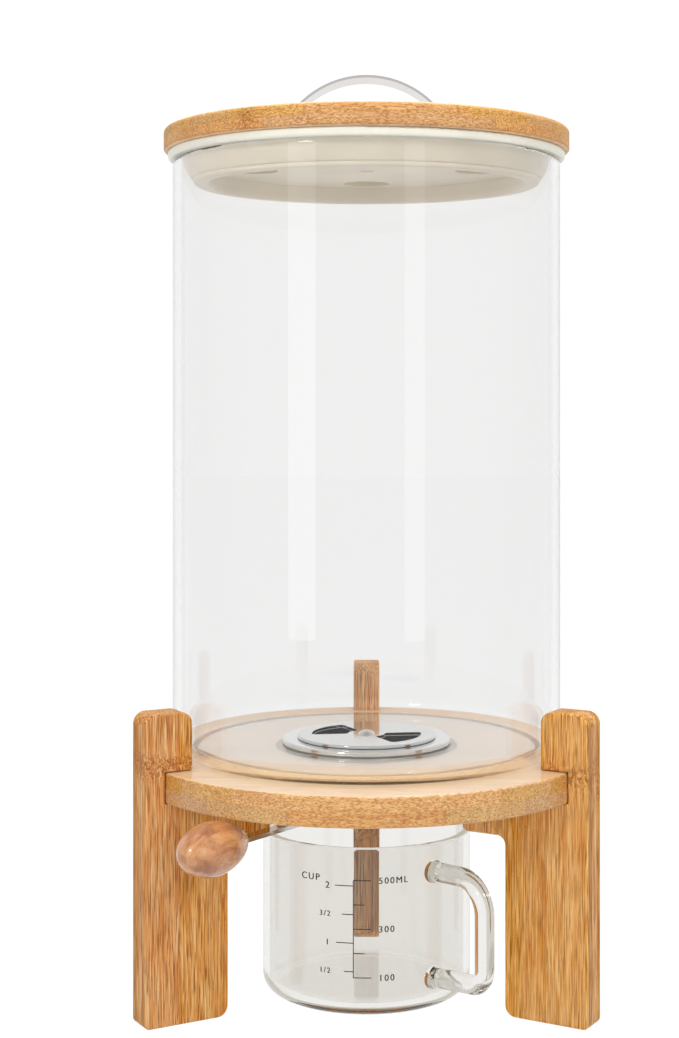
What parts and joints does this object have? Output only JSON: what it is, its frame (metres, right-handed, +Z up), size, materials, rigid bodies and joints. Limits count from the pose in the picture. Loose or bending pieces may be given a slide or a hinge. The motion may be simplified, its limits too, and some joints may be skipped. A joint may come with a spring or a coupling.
{
  "type": "grain and detergent dispenser",
  "caption": "Cylindrical glass storage jar with a bamboo lid on a bamboo stand, emptied through a lever-turned rotary valve in its floor into a glass measuring cup.",
  "frame": {"origin": "on the surface that the legs stand on, on the jar's axis, at the middle of the measuring cup's base", "axes": "+Z up along the jar's axis; -Y is the front, between the two front legs; +X is to the right seen from the front"},
  "size_m": [0.23, 0.2431, 0.4649],
  "materials": {
    "bamboo": "satin lacquered laminated bamboo",
    "varnished_wood": "glossy varnish over figured wood",
    "jar_glass": "clear",
    "cup_glass": "clear",
    "stainless_steel": "satin",
    "polished_steel": "polished stainless steel",
    "zinc_screws": "bright zinc plated",
    "brass": "turned",
    "gasket_rubber": "matte",
    "nut_plastic": "moulded",
    "bush_plastic": "moulded",
    "lid_silicone": "translucent",
    "lid_plastic": "moulded, semi-matte"
  },
  "bodies": {
    "stand": {"stand_tray": "bamboo", "leg_front_left": "bamboo", "leg_front_right": "bamboo", "leg_rear": "bamboo", "leg_screws": "zinc_screws", "glass_jar": "jar_glass", "valve_body": "stainless_steel", "upper_gasket": "gasket_rubber", "lower_gasket": "gasket_rubber", "clamp_washer": "stainless_steel", "clamp_nut": "nut_plastic", "shaft_bush": "bush_plastic"},
    "rotor": {"rotor_disc": "polished_steel", "rotor_seal": "gasket_rubber", "rotor_shaft": "stainless_steel", "rotor_cap_nut": "polished_steel", "thrust_spring": "stainless_steel", "lever_bar": "stainless_steel", "lever_washer": "stainless_steel", "lever_nut": "stainless_steel", "lever_knob": "varnished_wood", "knob_insert": "brass"},
    "lid": {"lid_board": "bamboo", "lid_seal": "lid_silicone", "lid_insert": "lid_plastic", "insert_screws": "zinc_screws", "lid_handle": "polished_steel", "handle_screws": "zinc_screws"},
    "cup": {"measuring_cup": "cup_glass"}
  },
  "joints": [
    {"name": "lever_turn", "type": "hinge", "parent": "stand", "child": "rotor", "pos_m": [0, 0, 0.094], "axis": [0, 0, 1], "range_deg": [0, 80]},
    {"name": "lid_lift", "type": "slide", "parent": "stand", "child": "lid", "axis": [0, 0, 1], "range_m": [0, 0.12]},
    {"name": "cup_slide", "type": "slide", "parent": "stand", "child": "cup", "axis": [0, -1, 0], "range_m": [0, 0.25]}
  ]
}
